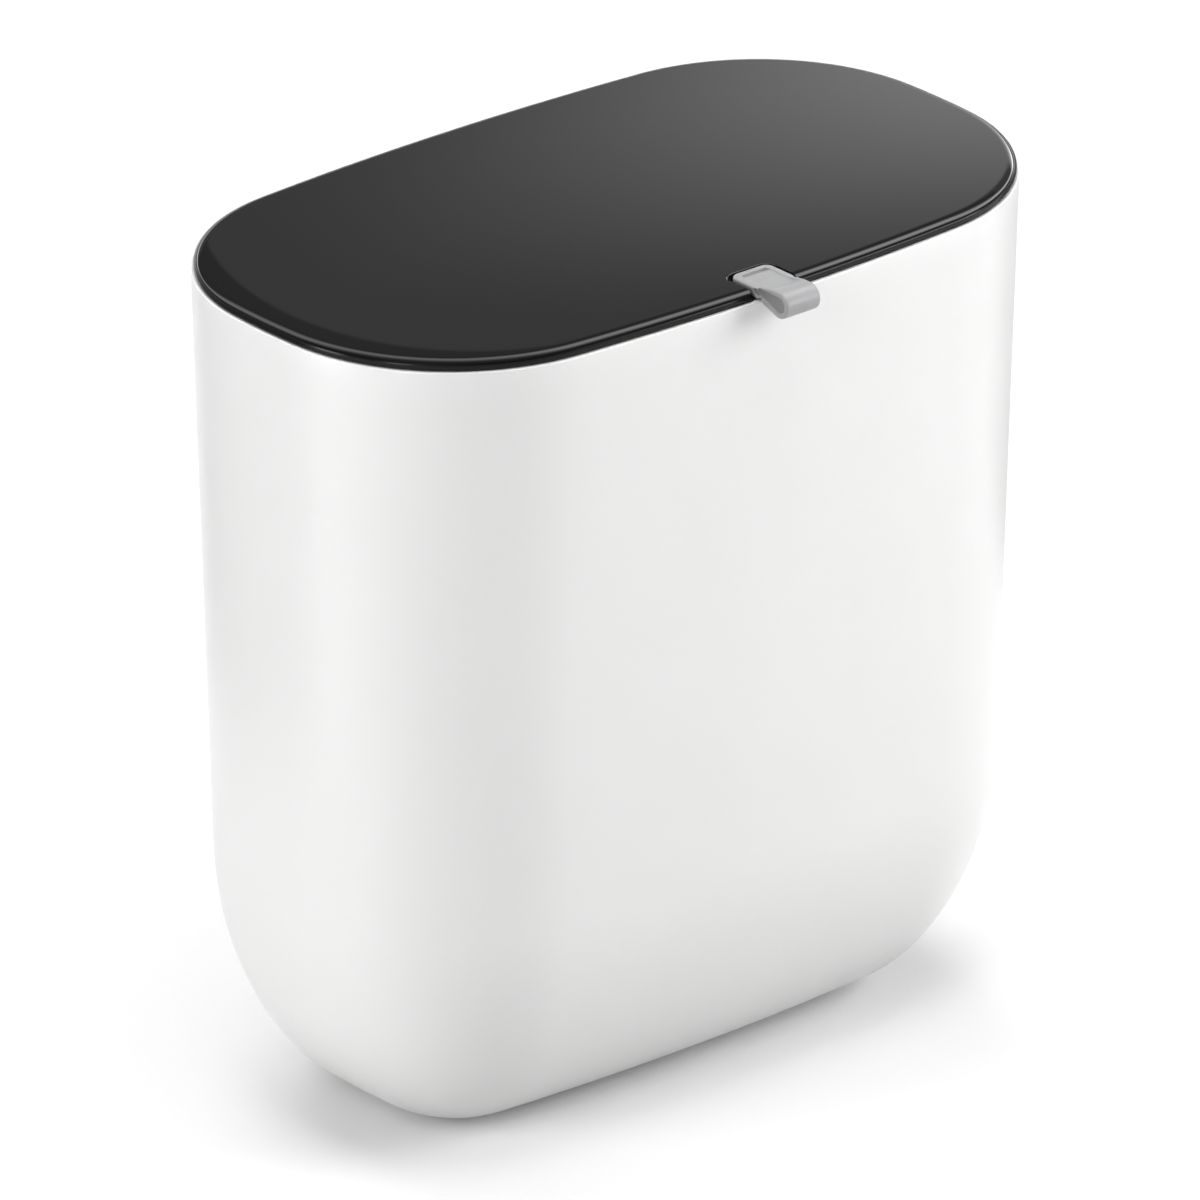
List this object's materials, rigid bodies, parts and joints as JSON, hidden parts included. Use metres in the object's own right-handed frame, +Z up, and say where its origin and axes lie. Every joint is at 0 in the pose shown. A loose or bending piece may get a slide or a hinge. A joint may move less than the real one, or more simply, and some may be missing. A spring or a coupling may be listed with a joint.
{
  "type": "wall-mounted bin",
  "caption": "Wall-mounted oval waste bin with a drafted rounded body, lift-out bucket, flip-up gloss lid with a soft pull tab, and a hook-on wall bracket.",
  "frame": {"origin": "centre of the base on the floor, in the middle of the whole depth from tab to wall", "axes": "+X along the bin, -Y towards the front with the pull tab, +Y towards the wall, +Z up"},
  "size_m": [0.28, 0.1886, 0.2866],
  "materials": {
    "shell_white": "satin white moulding",
    "lid_gloss": "high gloss black",
    "undertray_black": "fine grained black",
    "tab_grey": "soft satin light grey",
    "core_grey": "matte mid grey",
    "bucket_grey": "fine grained grey",
    "ring_grey": "satin grey",
    "rubber_dark": "matte rubber",
    "hinge_black": "fine grained black",
    "rail_white": "satin white",
    "sheet_steel": "white powder coat",
    "steel": "bright zinc",
    "foam_grey": "closed cell foam tape"
  },
  "bodies": {
    "bin": {"outer_shell": "shell_white", "base_ring": "rubber_dark", "inner_bucket": "bucket_grey", "bag_ring": "ring_grey", "hinge_bracket_left": "hinge_black", "hinge_bracket_right": "hinge_black", "hinge_pin_left": "steel", "hinge_pin_right": "steel", "hinge_screws": "steel", "hanger_rail": "rail_white", "hanger_screws": "steel", "rear_spacers": "rail_white", "spacer_tips": "rubber_dark", "spacer_screws": "steel"},
    "lid": {"lid_panel": "lid_gloss", "lid_undertray": "undertray_black", "panel_tape": "foam_grey", "lid_seal": "rubber_dark", "hinge_bushes": "ring_grey", "tab_core": "core_grey", "pull_tab": "tab_grey", "tab_screws": "steel"},
    "bracket": {"wall_bracket": "sheet_steel", "adhesive_pads": "foam_grey"}
  },
  "joints": [
    {"name": "lid_hinge", "type": "hinge", "parent": "bin", "child": "lid", "pos_m": [0, 0.0848, 0.276], "axis": [-1, 0, 0], "range_deg": [0, 88]},
    {"name": "bracket_slide", "type": "slide", "parent": "bin", "child": "bracket", "axis": [0, 0, 1], "range_m": [-0.018, 0]}
  ]
}
